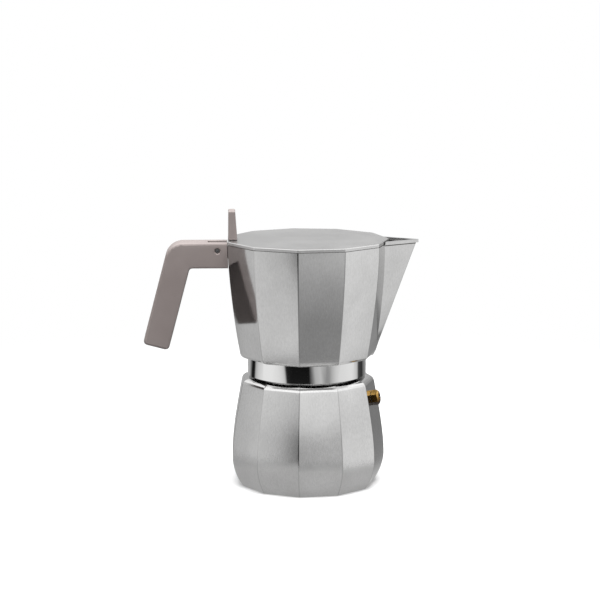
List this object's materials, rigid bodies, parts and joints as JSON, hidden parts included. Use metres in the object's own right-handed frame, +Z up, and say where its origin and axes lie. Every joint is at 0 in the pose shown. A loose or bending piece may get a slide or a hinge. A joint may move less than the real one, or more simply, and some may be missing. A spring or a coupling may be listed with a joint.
{
  "type": "moka pot",
  "caption": "Faceted stovetop moka pot: boiler with safety valve, lift-out funnel, screw-on collector with spout, hinged lid and side handle.",
  "frame": {"origin": "centre of the boiler's underside, on the surface that the pot stands on", "axes": "+Z up along the pot's axis, +X towards the spout, -X towards the handle"},
  "size_m": [0.1999, 0.1186, 0.2014],
  "materials": {
    "cast_aluminium": "satin polished casting, with a bright turned band at the skirt",
    "sheet_aluminium": "smooth pressed sheet",
    "steel": "dull",
    "brass": "turned, slightly darkened",
    "taupe_plastic": "fine satin moulding",
    "silicone": "matte"
  },
  "bodies": {
    "boiler": {"boiler": "cast_aluminium", "valve_body": "brass", "valve_washer": "silicone", "valve_retainer": "brass"},
    "valve_plunger": {"valve_plunger": "steel", "valve_spring": "steel"},
    "funnel": {"funnel_cup": "sheet_aluminium", "funnel_stem": "sheet_aluminium", "funnel_sieve": "sheet_aluminium"},
    "seal": {"gasket": "silicone", "filter_plate": "sheet_aluminium"},
    "collector": {"collector": "cast_aluminium", "coffee_column": "cast_aluminium", "column_cap": "cast_aluminium", "handle": "taupe_plastic", "hinge_pin": "steel"},
    "lid": {"lid": "cast_aluminium", "lid_tab": "taupe_plastic", "tab_screw_left": "steel", "tab_screw_right": "steel"}
  },
  "joints": [
    {"name": "valve_slide", "type": "slide", "parent": "boiler", "child": "valve_plunger", "axis": [0.9441, -0.2772, 0.1783], "range_m": [0, 0.0008], "stiffness_N_per_m": 2500, "springref_m": -0.001, "deforming": ["valve_spring"]},
    {"name": "funnel_lift", "type": "slide", "parent": "boiler", "child": "funnel", "axis": [0, 0, 1], "range_m": [0, 0.095]},
    {"name": "thread_rise", "type": "slide", "parent": "funnel", "child": "seal", "axis": [0, 0, 1], "range_m": [0, 0.0076]},
    {"name": "unscrew", "type": "hinge", "parent": "seal", "child": "collector", "pos_m": [0, 0, 0.0815], "axis": [0, 0, 1], "range_deg": [0, 900]},
    {"name": "lid_hinge", "type": "hinge", "parent": "collector", "child": "lid", "pos_m": [-0.06497, 0, 0.173], "axis": [0, -1, 0], "range_deg": [0, 93]}
  ],
  "couplings": [
    {"joint": "thread_rise", "follows": "unscrew", "m_per_rad": 0.00047746}
  ]
}
